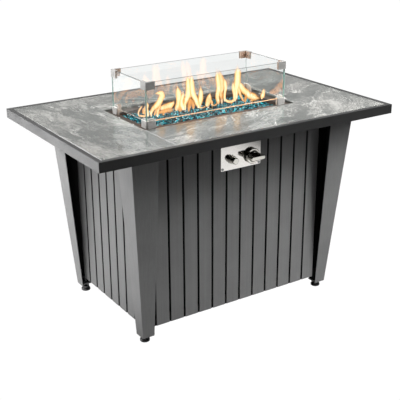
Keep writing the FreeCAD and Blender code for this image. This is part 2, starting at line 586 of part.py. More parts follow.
fixed, moving, pins = [], [], []
for zc in (150.0, 525.0):
    k = 18.0
    for z0, z1 in ((zc - 30, zc - 10.2), (zc + 10.2, zc + 30)):
        leaf = box(-292, -DOOR_X, BY, BY + 1.5, z0, z1)
        kn = cyl(3.3, (-DOOR_X, HINGE_Y, z0), (0, 0, 1), z1 - z0)
        fixed.append(leaf.fuse([kn]).cut(cyl(2.05, (-DOOR_X, HINGE_Y, z0 - 1), (0, 0, 1), 30)))
    leaf = box(-DOOR_X, -236, DY1 + SLAT_T, DY1 + SLAT_T + 1.5, zc - 10, zc + 10)
    kn = cyl(3.3, (-DOOR_X, HINGE_Y, zc - 10), (0, 0, 1), 20)
    moving.append(leaf.fuse([kn]).cut(cyl(2.05, (-DOOR_X, HINGE_Y, zc - 20), (0, 0, 1), 40)))
    plate_f = box(-292, -267.5, BY, BY + 1.5, zc - 30, zc + 30)
    fixed[-2] = fixed[-2].fuse([fixed[-1], plate_f])
    fixed.pop()
    pins.append(cyl(2.0, (-DOOR_X, HINGE_Y, zc - 31), (0, 0, 1), 62).fuse(
        [cyl(3.2, (-DOOR_X, HINGE_Y, zc + 30.2), (0, 0, 1), 1.6)]))
add("hinge_leaves_fixed", solids([f.removeSplitter() for f in fixed]))
add("hinge_leaves_door", solids([m.removeSplitter() for m in moving]))
add("hinge_pins", solids([p.removeSplitter() for p in pins]))

hx = 237.15
hy = DY1 + SLAT_T
handle = tube_path([(hx, hy, 330), (hx, hy + 26, 330), (hx, hy + 26, 430), (hx, hy, 430)], [10, 10], 4.0)
handle = handle.fuse([cyl(7.0, (hx, hy, 330), (0, 1, 0), 2.0), cyl(7.0, (hx, hy, 430), (0, 1, 0), 2.0)])
add("door_handle", handle.removeSplitter())
mag = box(180, 222, 196, DY0 - 0.6, 586, SUB0 - WALL)
mag = mag.cut([cyl(2.2, (188, 190, 610), (0, 1, 0), 30), cyl(2.2, (214, 190, 610), (0, 1, 0), 30)])
add("magnet_catch", mag)

# ---------------------------------------------------------------------------
# Legs: folded angles that taper down and lean out, with foot plate and tab
# ---------------------------------------------------------------------------


def leg_l(z):
    x, y, w = leg_at(z)
    return [(x, y, z), (x - w, y, z), (x - w, y - LEG_T, z), (x - LEG_T, y - LEG_T, z),
            (x - LEG_T, y - w, z), (x, y - w, z)]


def inner_plate(x0, y0, z0, z1):
    xa, ya, _ = leg_at(z0)
    xb, yb, _ = leg_at(z1)
    t = LEG_T - 0.5
    return loft([(x0, y0, z0), (xa - t, y0, z0), (xa - t, ya - t, z0), (x0, ya - t, z0)],
                [(x0, y0, z1), (xb - t, y0, z1), (xb - t, yb - t, z1), (x0, yb - t, z1)])


leg = loft(leg_l(LEG_Z0), leg_l(LEG_Z1))
legp = leg.fuse([inner_plate(323.0, 198.0, 24.0, 29.0), inner_plate(352.0, 240.0, 623.0, LEG_Z1)])
legp = legp.cut([cyl(4.0, (FOOT_X, FOOT_Y, 20), (0, 0, 1), 15),
                 cyl(3.2, (331.0, 214.0, 20), (0, 0, 1), 15),
                 cyl(3.2, (368.0, 262.0, 615), (0, 0, 1), 15),
                 cyl(3.2, (392.0, 262.0, 615), (0, 0, 1), 15)])
legp = legp.removeSplitter()
add("leg_rear_right", legp)
add("leg_rear_left", mirror(legp, x=True))
add("leg_front_right", mirror(legp, y=True))
add("leg_front_left", mirror(legp, x=True, y=True))

footp = cyl(15.5, (FOOT_X, FOOT_Y, 0), (0, 0, 1), 8.0)
footp = footp.makeChamfer(1.2, [e for e in footp.Edges if e.BoundBox.ZLength < 1e-6])
footp = footp.fuse([cyl(12.0, (FOOT_X, FOOT_Y, 8), (0, 0, 1), 9.0), cyl(3.95, (FOOT_X, FOOT_Y, 17), (0, 0, 1), 29.0)])
footp = footp.removeSplitter()
add("foot_rear_right", footp)
add("foot_rear_left", mirror(footp, x=True))
add("foot_front_right", mirror(footp, y=True))
add("foot_front_left", mirror(footp, x=True, y=True))


def bolt(p, d, r, length, hr, hh):
    # button head behind p, shank along d
    a = V(*d)
    h = Part.makeCylinder(hr, hh, V(*p) - a * hh, a)
    h = h.makeFillet(hh * 0.45, [e for e in h.Edges if e.BoundBox.DiagonalLength > hr and
                                 (e.CenterOfMass - (V(*p) - a * hh)).Length < 1e-3])
    sock = Part.makeCylinder(hr * 0.45, hh * 0.5, V(*p) - a * hh, a)
    return h.fuse([Part.makeCylinder(r, length, V(*p), a)]).cut(sock).removeSplitter()


lb = []
lb += four(bolt((331.0, 214.0, 24.0), (0, 0, 1), 2.9, 19.0, 6.0, 3.5))
lb += four(bolt((368.0, 262.0, 623.0), (0, 0, 1), 3.0, 2.5, 6.0, 3.5))
lb += four(bolt((392.0, 262.0, 623.0), (0, 0, 1), 3.0, 2.5, 6.0, 3.5))
add("leg_bolts", solids(lb))
ms = [bolt((x, y, FZ + PAN_T), (0, 0, -1), 2.1, PAN_T, 4.0, 2.2) for x, y in PAN_SCREWS]
ms += [bolt((x, PF, z), (0, 1, 0), 1.5, 1.5 + SLAT_T - 0.1, 4.0, 2.0) for x, z in PLATE_SCREWS]
add("machine_screws", solids(ms))

for name, s in nodes.items():
    ok = s.isValid() and all(q.isClosed() for q in s.Shells)
    print("%-22s solids %2d vol %10.1f %s" % (name, len(s.Solids), s.Volume, "" if ok else "INVALID"))
    s.exportStep("parts/%s.step" % name)
print(len(nodes), "nodes")
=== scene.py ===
import math

import bmesh
import bpy
import numpy as np
from mathutils import Matrix, Vector, noise

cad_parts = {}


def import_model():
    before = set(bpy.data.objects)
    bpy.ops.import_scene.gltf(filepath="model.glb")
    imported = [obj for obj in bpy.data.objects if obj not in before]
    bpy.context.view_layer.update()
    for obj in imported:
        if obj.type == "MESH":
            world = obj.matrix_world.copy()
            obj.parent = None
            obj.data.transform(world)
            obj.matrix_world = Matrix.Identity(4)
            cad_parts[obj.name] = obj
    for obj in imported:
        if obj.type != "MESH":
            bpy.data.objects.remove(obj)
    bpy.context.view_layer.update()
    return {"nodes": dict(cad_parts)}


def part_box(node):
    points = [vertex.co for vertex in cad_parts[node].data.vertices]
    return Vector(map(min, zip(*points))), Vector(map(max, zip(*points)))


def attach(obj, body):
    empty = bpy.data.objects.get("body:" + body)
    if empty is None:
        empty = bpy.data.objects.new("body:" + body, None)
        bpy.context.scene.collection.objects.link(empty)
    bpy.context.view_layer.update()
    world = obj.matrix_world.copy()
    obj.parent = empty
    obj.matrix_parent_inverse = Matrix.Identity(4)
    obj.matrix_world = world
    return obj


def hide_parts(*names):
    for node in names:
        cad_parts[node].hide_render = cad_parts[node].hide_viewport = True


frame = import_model()
NODES = frame["nodes"]
scene = bpy.context.scene


# ---------------------------------------------------------------- camera
def camera():
    az, el, roll = math.radians(-32.984), math.radians(21.292), math.radians(-0.305)
    back = Vector((math.sin(az) * math.cos(el), -math.cos(az) * math.cos(el), math.sin(el)))
    right = (-back).cross(Vector((0, 0, 1))).normalized()
    up = right.cross(-back)
    r = math.cos(roll) * right + math.sin(roll) * up
    u = -math.sin(roll) * right + math.cos(roll) * up
    data = bpy.data.cameras.new("camera")
    data.sensor_width, data.lens = 36.0, 853.6 * 36 / 400
    data.clip_start, data.clip_end = 0.05, 200
    cam = bpy.data.objects.new("camera", data)
    scene.collection.objects.link(cam)
    m = Matrix((r, u, back)).transposed().to_4x4()
    m.translation = Vector((-0.0022, 0, 0.3287)) + back * 2.8921
    cam.matrix_world = m
    scene.camera = cam


camera()


# ---------------------------------------------------------------- node trees
class Tree:
    """Short forms for building a material's nodes."""

    def __init__(self, owner):
        owner.use_nodes = True
        self.t = owner.node_tree
        self.t.nodes.clear()
        self.x = 0

    def add(self, kind, inputs=None, **props):
        n = self.t.nodes.new(kind)
        self.x += 180
        n.location = (self.x, 0)
        for k, v in props.items():
            setattr(n, k, v)
        for k, v in (inputs or {}).items():
            self.put(n.inputs[k], v)
        return n

    def put(self, socket, v):
        if isinstance(v, bpy.types.NodeSocket):
            self.t.links.new(v, socket)
        elif isinstance(v, bpy.types.Node):
            self.t.links.new(v.outputs[0], socket)
        else:
            if hasattr(socket.default_value, "__len__") and len(socket.default_value) == 4 and len(v) == 3:
                v = (*v, 1.0)
            socket.default_value = v

    def math(self, op, a, b=0.0, c=0.0, clamp=False):
        n = self.add("ShaderNodeMath", operation=op, use_clamp=clamp)
        for s, v in zip(n.inputs, (a, b, c)):
            self.put(s, v)
        return n.outputs[0]

    def vmath(self, op, a, b=(0, 0, 0)):
        n = self.add("ShaderNodeVectorMath", operation=op)
        self.put(n.inputs[0], a)
        self.put(n.inputs[1], b)
        return n.outputs[0]

    def coords(self, scale=(1, 1, 1), shift=(0, 0, 0), turn=(0, 0, 0)):
        tc = self.add("ShaderNodeTexCoord")
        return self.add("ShaderNodeMapping", {"Vector": tc.outputs["Object"], "Location": shift, "Rotation": turn, "Scale": scale}).outputs[0]

    def noise(self, vec, scale=1.0, detail=4.0, rough=0.5, dist=0.0, kind="FBM"):
        n = self.add("ShaderNodeTexNoise", noise_type=kind)
        for k, v in {"Vector": vec, "Scale": scale, "Detail": detail, "Roughness": rough, "Distortion": dist}.items():
            self.put(n.inputs[k], v)
        return n

    def span(self, v, a, b, lo=0.0, hi=1.0, smooth=True):
        n = self.add("ShaderNodeMapRange", interpolation_type="SMOOTHSTEP" if smooth else "LINEAR")
        for k, x in zip(("Value", "From Min", "From Max", "To Min", "To Max"), (v, a, b, lo, hi)):
            self.put(n.inputs[k], x)
        return n.outputs[0]

    def mix(self, f, a, b, blend="MIX"):
        n = self.add("ShaderNodeMix", data_type="RGBA", blend_type=blend)
        for i, v in ((0, f), (6, a), (7, b)):
            self.put(n.inputs[i], v)
        return n.outputs[2]

    def ramp(self, v, stops):
        n = self.add("ShaderNodeValToRGB")
        e = n.color_ramp.elements
        while len(e) < len(stops):
            e.new(0.5)
        for s, (p, c) in zip(e, stops):
            s.position, s.color = p, (*c, 1.0)
        self.put(n.inputs[0], v)
        return n.outputs[0]

    def bump(self, h, dist, strength=1.0, normal=None):
        n = self.add("ShaderNodeBump", {"Height": h, "Distance": dist, "Strength": strength})
        if normal is not None:
            self.put(n.inputs["Normal"], normal)
        return n.outputs[0]

    def surface(self, shader):
        out = self.add("ShaderNodeOutputMaterial")
        self.put(out.inputs["Surface"], shader)


def material(name):
    m = bpy.data.materials.new(name)
    return m, Tree(m)


def paint(*nodes, mat):
    for n in nodes:
        o = NODES[n]
        o.data.materials.clear()
        o.data.materials.append(mat)


# ---------------------------------------------------------------- materials
def powder_coat(name, base, rough=0.5, spec=0.35, streak=0.06, tint=(1.0, 1.0, 1.0), face=None):
    """Fine textured powder coat: orange peel, a little mottling, faint upright streaks from rolling the sheet.
    With face given, only what looks along that axis gets the coat's colour; every other face, such as the side walls
    between slats, gets near-black as painted shade for the grooves."""
    m, t = material(name)
    p = t.coords()
    mottle = t.noise(p, 9, 5, 0.6, 0.4).outputs[0]
    lines = t.noise(t.coords(scale=(260, 260, 2.2)), 1.0, 3, 0.6).outputs[0]
    flake = t.noise(p, 2600, 2, 0.5).outputs[0]
    f = t.math("ADD", t.span(mottle, 0.3, 0.7, -0.07, 0.07), t.span(lines, 0.3, 0.7, -streak, streak))
    f = t.math("ADD", t.math("ADD", f, t.span(flake, 0.3, 0.75, -0.10, 0.14)), 1.0)
    c = t.mix(1.0, tuple(base * x for x in tint), t.add("ShaderNodeCombineColor", {0: f, 1: f, 2: f}).outputs[0], "MULTIPLY")
    if face is not None:
        # painted shade: faces that don't look along the axis, such as the groove side walls, are painted near-black
        split = t.add("ShaderNodeSeparateXYZ", {0: t.add("ShaderNodeTexCoord").outputs["Normal"]})
        c = t.mix(t.span(t.math("ABSOLUTE", split.outputs[face]), 0.45, 0.80), (0.002, 0.002, 0.002), c)
    peel = t.noise(p, 900, 3, 0.55).outputs[0]
    r = t.math("ADD", t.span(mottle, 0.3, 0.7, -0.05, 0.05), t.span(flake, 0.2, 0.8, rough - 0.05, rough + 0.05))
    n = t.bump(peel, 0.00025, 0.5)
    t.surface(t.add("ShaderNodeBsdfPrincipled", {"Base Color": c, "Roughness": r, "Specular IOR Level": spec, "Normal": n}))
    return m


def stone(name, shift, turn, tone=1.0, white=1.0):
    """Glossy marble-look stone: smoky grey clouds, broad soft streaks and thin veins that run with them."""
    m, t = material(name)
    p = t.coords(shift=shift)
    w1 = t.vmath("SUBTRACT", t.noise(p, 3.2, 3, 0.55).outputs[1], (0.5, 0.5, 0.5))
    w2 = t.vmath("SUBTRACT", t.noise(p, 14, 4, 0.6).outputs[1], (0.5, 0.5, 0.5))
    warp = t.vmath("ADD", t.vmath("MULTIPLY", w1, (0.15, 0.15, 0)), t.vmath("MULTIPLY", w2, (0.028, 0.028, 0)))
    q = t.vmath("ADD", p, warp)
    q = t.add("ShaderNodeMapping", {"Vector": q, "Rotation": (0, 0, turn), "Scale": (1, 1, 1)}).outputs[0]
    along = t.vmath("MULTIPLY", q, (2.6, 9.5, 1.0))
    cloud = t.noise(t.vmath("MULTIPLY", q, (5, 11, 1)), 1.0, 7, 0.62, 0.3).outputs[0]
    band = t.noise(along, 1.0, 7, 0.66, 0.5).outputs[0]
    fine = t.noise(t.vmath("MULTIPLY", q, (9, 34, 1)), 1.0, 8, 0.7, 0.6).outputs[0]
    where = t.noise(p, 4.2, 2, 0.5).outputs[0]
    base = t.ramp(cloud, [(0.30, (0.034 * tone, 0.036 * tone, 0.034 * tone)), (0.45, (0.056 * tone, 0.058 * tone, 0.055 * tone)),
                          (0.58, (0.090 * tone, 0.090 * tone, 0.085 * tone)), (0.78, (0.145 * tone, 0.141 * tone, 0.132 * tone))])
    v1 = t.math("ABSOLUTE", t.math("SUBTRACT", band, 0.52))
    vein = t.span(v1, 0.0, 0.022, 1.0, 0.0)
    vein = t.math("MULTIPLY", vein, t.span(where, 0.42, 0.62, 0.1, 0.70))
    v2 = t.math("ABSOLUTE", t.math("SUBTRACT", fine, 0.5))
    hair = t.math("MULTIPLY", t.span(v2, 0.0, 0.02, 0.35, 0.0), t.span(cloud, 0.42, 0.6, 0.0, 1.0))
    broad = t.math("MULTIPLY", t.span(band, 0.52, 0.74, 0.0, 0.55), t.span(fine, 0.25, 0.70, 0.45, 1.0))
    f = t.math("MULTIPLY", t.math("MAXIMUM", t.math("MAXIMUM", vein, hair), broad), white, clamp=True)
    grain = t.math("ADD", t.span(t.noise(p, 420, 3, 0.6).outputs[0], 0.3, 0.7, -0.08, 0.08), t.span(t.noise(t.vmath("MULTIPLY", q, (60, 150, 1)), 1.0, 4, 0.65, 0.5).outputs[0], 0.3, 0.7, 0.78, 1.24))
    # sparse crisp white threads along the streaks
    v3 = t.math("ABSOLUTE", t.math("SUBTRACT", t.noise(t.vmath("MULTIPLY", q, (3.2, 15, 1)), 1.0, 6, 0.62, 0.35).outputs[0], 0.47))
    thread = t.math("MULTIPLY", t.span(v3, 0.0, 0.009, 0.5, 0.0), t.span(t.noise(p, 6.0, 3, 0.5).outputs[0], 0.48, 0.60, 0.0, 1.0))
    f = t.math("MAXIMUM", f, t.math("MULTIPLY", thread, white), clamp=True)
    c = t.mix(f, base, (0.37, 0.365, 0.345))
    c = t.mix(1.0, c, t.add("ShaderNodeCombineColor", {0: grain, 1: grain, 2: grain}).outputs[0], "MULTIPLY")
    r = t.span(t.noise(p, 35, 4, 0.6).outputs[0], 0.3, 0.7, 0.10, 0.19)
    n = t.bump(t.noise(p, 260, 2, 0.5).outputs[0], 0.00008, 0.4)
    t.surface(t.add("ShaderNodeBsdfPrincipled", {"Base Color": c, "Roughness": r, "Specular IOR Level": 0.5, "Normal": n}))
    return m


def metal(name, base, rough=0.3, scale=(900, 900, 12), dirt=0.12, smudge=0.06, bump=0.00004, tint2=None, metallic=1.0):
    """Brushed metal: long scratches along the axis with the smallest scale, and handling smudges."""
    m, t = material(name)
    p = t.coords()
    brush = t.noise(t.coords(scale=scale), 1.0, 4, 0.65).outputs[0]
    cloud = t.noise(p, 24, 5, 0.6, 0.6).outputs[0]
    a, b = tuple(x * (1 - dirt) for x in base), tuple(min(1, x * (1 + dirt)) for x in base)
    c = t.mix(t.span(brush, 0.3, 0.7), a, b)
    c = t.mix(t.span(cloud, 0.45, 0.75, 0, 0.5), c, tint2 or a)
    r = t.math("ADD", t.span(brush, 0.3, 0.7, rough - 0.05, rough + 0.06), t.span(cloud, 0.4, 0.75, 0, smudge))
    n = t.bump(brush, bump, 0.6)
    t.surface(t.add("ShaderNodeBsdfPrincipled", {"Base Color": c, "Metallic": metallic, "Roughness": r, "Normal": n}))
    return m


def guard_steel(name, base, rough, metallic, tint, fire_glow_amount):
    """Brushed steel, with the fire's orange glow painted on the faces that look in at it."""
    m, t = material(name)
    p = t.coords()
    brush = t.noise(t.coords(scale=(30, 30, 900)), 1.0, 4, 0.65).outputs[0]
    blot = t.noise(p, 130, 4, 0.6, 0.6).outputs[0]
    cloud = t.noise(p, 45, 4, 0.6, 0.4).outputs[0]
    c = t.mix(t.span(brush, 0.3, 0.7), tuple(x * 0.90 for x in base), tuple(x * 1.08 for x in base))
    c = t.mix(t.span(blot, 0.45, 0.72, 0.0, 0.55), c, tuple(x * 0.66 for x in base))
    n = t.add("ShaderNodeSeparateXYZ", {0: t.add("ShaderNodeTexCoord").outputs["Normal"]}).outputs
    q = t.add("ShaderNodeSeparateXYZ", {0: p}).outputs
    inward = t.math("MULTIPLY", t.math("ADD", t.math("MULTIPLY", n[0], t.math("SIGN", q[0])), t.math("MULTIPLY", n[1], t.math("SIGN", q[1]))), -1.0)
    # painted light: faces that look inward, towards the fire, get the warm tint as a painted glow of the flames
    heat = t.math("MULTIPLY", t.span(inward, 0.4, 0.8), t.span(cloud, 0.3, 0.7, fire_glow_amount * 0.55, fire_glow_amount))
    c = t.mix(heat, c, tint)
    r = t.math("ADD", t.span(brush, 0.3, 0.7, rough - 0.05, rough + 0.06), t.span(blot, 0.4, 0.75, 0, 0.06))
    t.surface(t.add("ShaderNodeBsdfPrincipled", {"Base Color": c, "Metallic": metallic, "Roughness": r, "Normal": t.bump(brush, 0.00004, 0.6)}))
    return m


def plastic(name, base, rough=0.4, scale=500, spec=0.5):
    m, t = material(name)
    p = t.coords()
    tex = t.noise(p, scale, 3, 0.55).outputs[0]
    cloud = t.noise(p, 30, 4, 0.6).outputs[0]
    c = t.mix(t.span(cloud, 0.3, 0.7), tuple(x * 0.82 for x in base), tuple(x * 1.15 for x in base))
    r = t.span(tex, 0.3, 0.7, rough - 0.07, rough + 0.08)
    n = t.bump(tex, 0.00012, 0.5)
    t.surface(t.add("ShaderNodeBsdfPrincipled", {"Base Color": c, "Roughness": r, "Specular IOR Level": spec, "Normal": n}))
    return m


def guard_glass(name, axis, edge, top=(0.010, 0.014, 0.013), line=0.0):
    """Clear tempered glass, with the green of its ground edges where the surface doesn't face along axis."""
    m, t = material(name)
    split = t.add("ShaderNodeSeparateXYZ", {0: t.add("ShaderNodeTexCoord").outputs["Normal"]})
    rim = t.span(t.math("ABSOLUTE", split.outputs[axis]), 0.75, 0.95, 1.0, 0.0)
    up = split.outputs[2]
    edge = t.mix(t.span(up, 0.3, 0.7), edge, top)
    edge = t.mix(t.span(up, -0.3, -0.7), edge, (0.30, 0.30, 0.27))
    face = t.math("ABSOLUTE", split.outputs[axis])
    seam = t.math("MULTIPLY", t.math("MULTIPLY", t.span(face, 0.45, 0.60), t.span(face, 0.82, 0.95, 1.0, 0.0)), t.span(t.math("ABSOLUTE", up), 0.3, 0.5, 1.0, 0.0))
    p = t.coords()
    haze = t.noise(p, 7, 4, 0.6, 0.5).outputs[0]
    rim = t.math("MAXIMUM", rim, seam)
    edge = t.mix(seam, edge, (0.86, 0.88, 0.87))
    # the polished line along the lower edge picks up the fire's glow
    z = t.add("ShaderNodeSeparateXYZ", {0: p}).outputs[2]
    glow = t.math("MULTIPLY", t.math("MULTIPLY", t.span(z, 0.6680, 0.6688), t.span(z, 0.6704, 0.6712, 1.0, 0.0)), line)
    edge = t.mix(glow, edge, (0.84, 0.50, 0.24))
    rim = t.math("MAXIMUM", rim, glow)
    c = t.mix(rim, t.mix(haze, (0.90, 0.92, 0.915), (0.925, 0.94, 0.935)), edge)
    face = t.add("ShaderNodeBsdfPrincipled", {"Base Color": c, "Roughness": t.math("ADD", t.math("MULTIPLY", rim, 0.28), t.span(haze, 0.4, 0.8, 0.0, 0.02)),
                                               "IOR": 1.5, "Transmission Weight": t.math("SUBTRACT", 1.0, t.math("MULTIPLY", rim, 0.85))})
    clear = t.add("ShaderNodeBsdfTransparent", {0: (0.93, 0.95, 0.945)})
    shadow = t.add("ShaderNodeLightPath").outputs["Is Shadow Ray"]
    t.surface(t.add("ShaderNodeMixShader", {0: shadow, 1: face, 2: clear}))
    return m


FRAME_PAINT = powder_coat("frame_paint", 0.0125, rough=0.36, spec=0.50)
LEG_PAINT = powder_coat("leg_paint", 0.088, rough=0.44, spec=0.38)
# the slat coats paint the side walls between slats near-black: painted shade in the grooves
LONG_PAINT = powder_coat("slat_paint_long_sides", 0.088, rough=0.44, spec=0.38, face=1)
END_PAINT = powder_coat("slat_paint_ends", 0.088, rough=0.44, spec=0.38, face=0)
# near-black coat for the inner frames, corner posts, door sheet and panel liners; its near-zero tone also stands in
# for the deep shade seen through the slat grooves and at the corners, so it is partly painted shade
INNER_BLACK = powder_coat("inner_black", 0.004, rough=0.7, spec=0.08, streak=0.02)
PAN = powder_coat("pan_black", 0.030, rough=0.50, spec=0.02, streak=0.10, tint=(1.25, 1.0, 0.86))
STEEL = metal("stainless", (0.50, 0.49, 0.47), rough=0.26, scale=(14, 14, 900), dirt=0.10)
PLATE = metal("control_plate_steel", (0.80, 0.775, 0.745), rough=0.08, scale=(8, 900, 900), dirt=0.05, smudge=0.03, bump=0.000004, metallic=1.0)
# the clips and foot brackets carry this painted fire glow on their inner faces
CLIP = guard_steel("clip_steel", (0.34, 0.335, 0.325), 0.36, 0.45, (0.50, 0.31, 0.20), 0.65)
SATIN = guard_steel("bracket_steel", (0.44, 0.43, 0.415), 0.42, 0.40, (0.58, 0.40, 0.28), 0.40)
HEAT_STEEL = metal("heated_stainless", (0.40, 0.34, 0.28), rough=0.38, scale=(10, 400, 400), dirt=0.25, tint2=(0.20, 0.13, 0.12))
CHROME = metal("chrome", (0.70, 0.68, 0.63), rough=0.06, scale=(60, 60, 60), dirt=0.03, smudge=0.03, bump=0.00001)
BRASS = metal("brass", (0.62, 0.44, 0.19), rough=0.30, scale=(120, 120, 120), dirt=0.15, tint2=(0.34, 0.22, 0.10))
ZINC = metal("zinc", (0.58, 0.59, 0.60), rough=0.42, scale=(150, 150, 150), dirt=0.14, tint2=(0.40, 0.41, 0.42))
RUBBER = plastic("rubber", (0.006, 0.006, 0.007), rough=0.24, scale=900, spec=0.5)
PLASTIC = plastic("plastic", (0.030, 0.031, 0.033), rough=0.35)
LEAD = plastic("lead", (0.22, 0.030, 0.022), rough=0.42, scale=700)
CERAMIC = plastic("ceramic", (0.62, 0.60, 0.55), rough=0.28, scale=220)

paint("top_rail_front", "top_rail_rear", "top_rail_left", "top_rail_right", "hinge_leaves_fixed", "hinge_leaves_door", mat=FRAME_PAINT)
paint("leg_front_left", "leg_front_right", "leg_rear_left", "leg_rear_right", mat=LEG_PAINT)
paint("front_slats", "rear_slats", "door_slats", mat=LONG_PAINT)
paint("left_slats", "right_slats", mat=END_PAINT)
paint("top_subframe", "base_frame", "base_shelf", "corner_posts", "door_sheet", "panel_liners", mat=INNER_BLACK)
paint("burner_pan", mat=PAN)
paint("burner_tube", "pilot_bracket", "heat_shield", mat=HEAT_STEEL)
paint("valve_stem", "gas_feed_pipe", "door_handle", "igniter_spring", mat=STEEL)
paint("control_plate", mat=PLATE)
paint("guard_top_clips", mat=CLIP)
paint("guard_foot_brackets", mat=SATIN)
paint("control_knob", "igniter_bezel", "igniter_button", mat=CHROME)
paint("valve_body", "valve_plug", "air_mixer", "thermocouple", mat=BRASS)
paint("hinge_pins", "leg_bolts", "machine_screws", "rail_corner_brackets", mat=ZINC)
paint("foot_front_left", "foot_front_right", "foot_rear_left", "foot_rear_right", mat=RUBBER)
paint("igniter_body", "magnet_catch", mat=PLASTIC)
paint("igniter_lead", mat=LEAD)
paint("spark_electrode", mat=CERAMIC)
paint("stone_left", mat=stone("stone_left", (0.10, 0.30, 0.0), math.radians(82), tone=1.34))
paint("stone_right", mat=stone("stone_right", (1.70, -0.65, 0.3), math.radians(-38), tone=0.98, white=0.72))
paint("stone_front", mat=stone("stone_front", (3.10, 1.45, 0.6), math.radians(-20), tone=1.05))
paint("stone_rear", mat=stone("stone_rear", (-2.20, 2.35, 0.9), math.radians(12), tone=1.06))
EDGE = (0.045, 0.16, 0.125)
for side, axis in (("front", 1), ("rear", 1), ("left", 0), ("right", 0)):
    paint("guard_glass_" + side, mat=guard_glass("guard_glass_" + side, axis, EDGE, line=0.9 if side == "front" else 0.25))


# ---------------------------------------------------------------- softened edges of folded and cut pieces
def soften(nodes, width, segments=2, angle=40):
    for n in nodes:
        o = NODES[n]
        weld = o.modifiers.new("weld", "WELD")
        weld.merge_threshold = 1e-5
        b = o.modifiers.new("edge", "BEVEL")
        b.width, b.segments, b.limit_method, b.angle_limit = width, segments, "ANGLE", math.radians(angle)
        b.use_clamp_overlap = True
        b.harden_normals = True


# ---------------------------------------------------------------- mesh helpers
def mesh_object(name, verts, faces, mat, body, smooth=False):
    me = bpy.data.meshes.new(name)
    me.from_pydata([tuple(v) for v in verts], [], [tuple(f) for f in faces])
    me.update()
    me.materials.append(mat)
    if smooth:
        me.polygons.foreach_set("use_smooth", [True] * len(me.polygons))
    o = bpy.data.objects.new(name, me)
    scene.collection.objects.link(o)
    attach(o, body)
    return o


def corner_colours(me, name, per_face):
    """per_face: one RGBA row for each face, written to the face's corners."""
    a = me.color_attributes.new(name, "FLOAT_COLOR", "CORNER")
    n = np.zeros(len(me.polygons), int)
    me.polygons.foreach_get("loop_total", n)
    a.data.foreach_set("color", np.repeat(np.asarray(per_face, np.float32), n, axis=0).ravel())


# ---------------------------------------------------------------- crushed fire glass
BED_X, BED_Y = 0.2508, 0.0988
POCKET = (0.036, 0.073, 0.010, 0.042)


def bed_height(x, y):
    n = noise.noise(Vector((x * 22, y * 22, 3.1))) * 0.0016 + noise.noise(Vector((x * 7, y * 7, 9.7))) * 0.0018
    edge = min(BED_X - abs(x), BED_Y - abs(y))
    return 0.6368 + n - 0.0025 * max(0.0, 1 - edge / 0.012)


def chip_shapes(rng, count):
    shapes = []
    for _ in range(count):
        pts = rng.normal(size=(9, 3))
        pts /= np.linalg.norm(pts, axis=1)[:, None]
        pts *= rng.uniform(0.82, 1.0, (9, 1)) * np.array([1.0, rng.uniform(0.62, 0.9), rng.uniform(0.42, 0.68)])
        bm = bmesh.new()
        for p in pts:
            bm.verts.new(p)
        out = bmesh.ops.convex_hull(bm, input=bm.verts)
        dead = {g for k in ("geom_interior", "geom_unused") for g in out[k] if isinstance(g, bmesh.types.BMVert)}
        for v in dead:
            bm.verts.remove(v)
        bmesh.ops.recalc_face_normals(bm, faces=bm.faces)
        bm.verts.index_update()
        shapes.append((np.array([v.co[:] for v in bm.verts]), [[v.index for v in f.verts] for f in bm.faces]))
        bm.free()
    return shapes


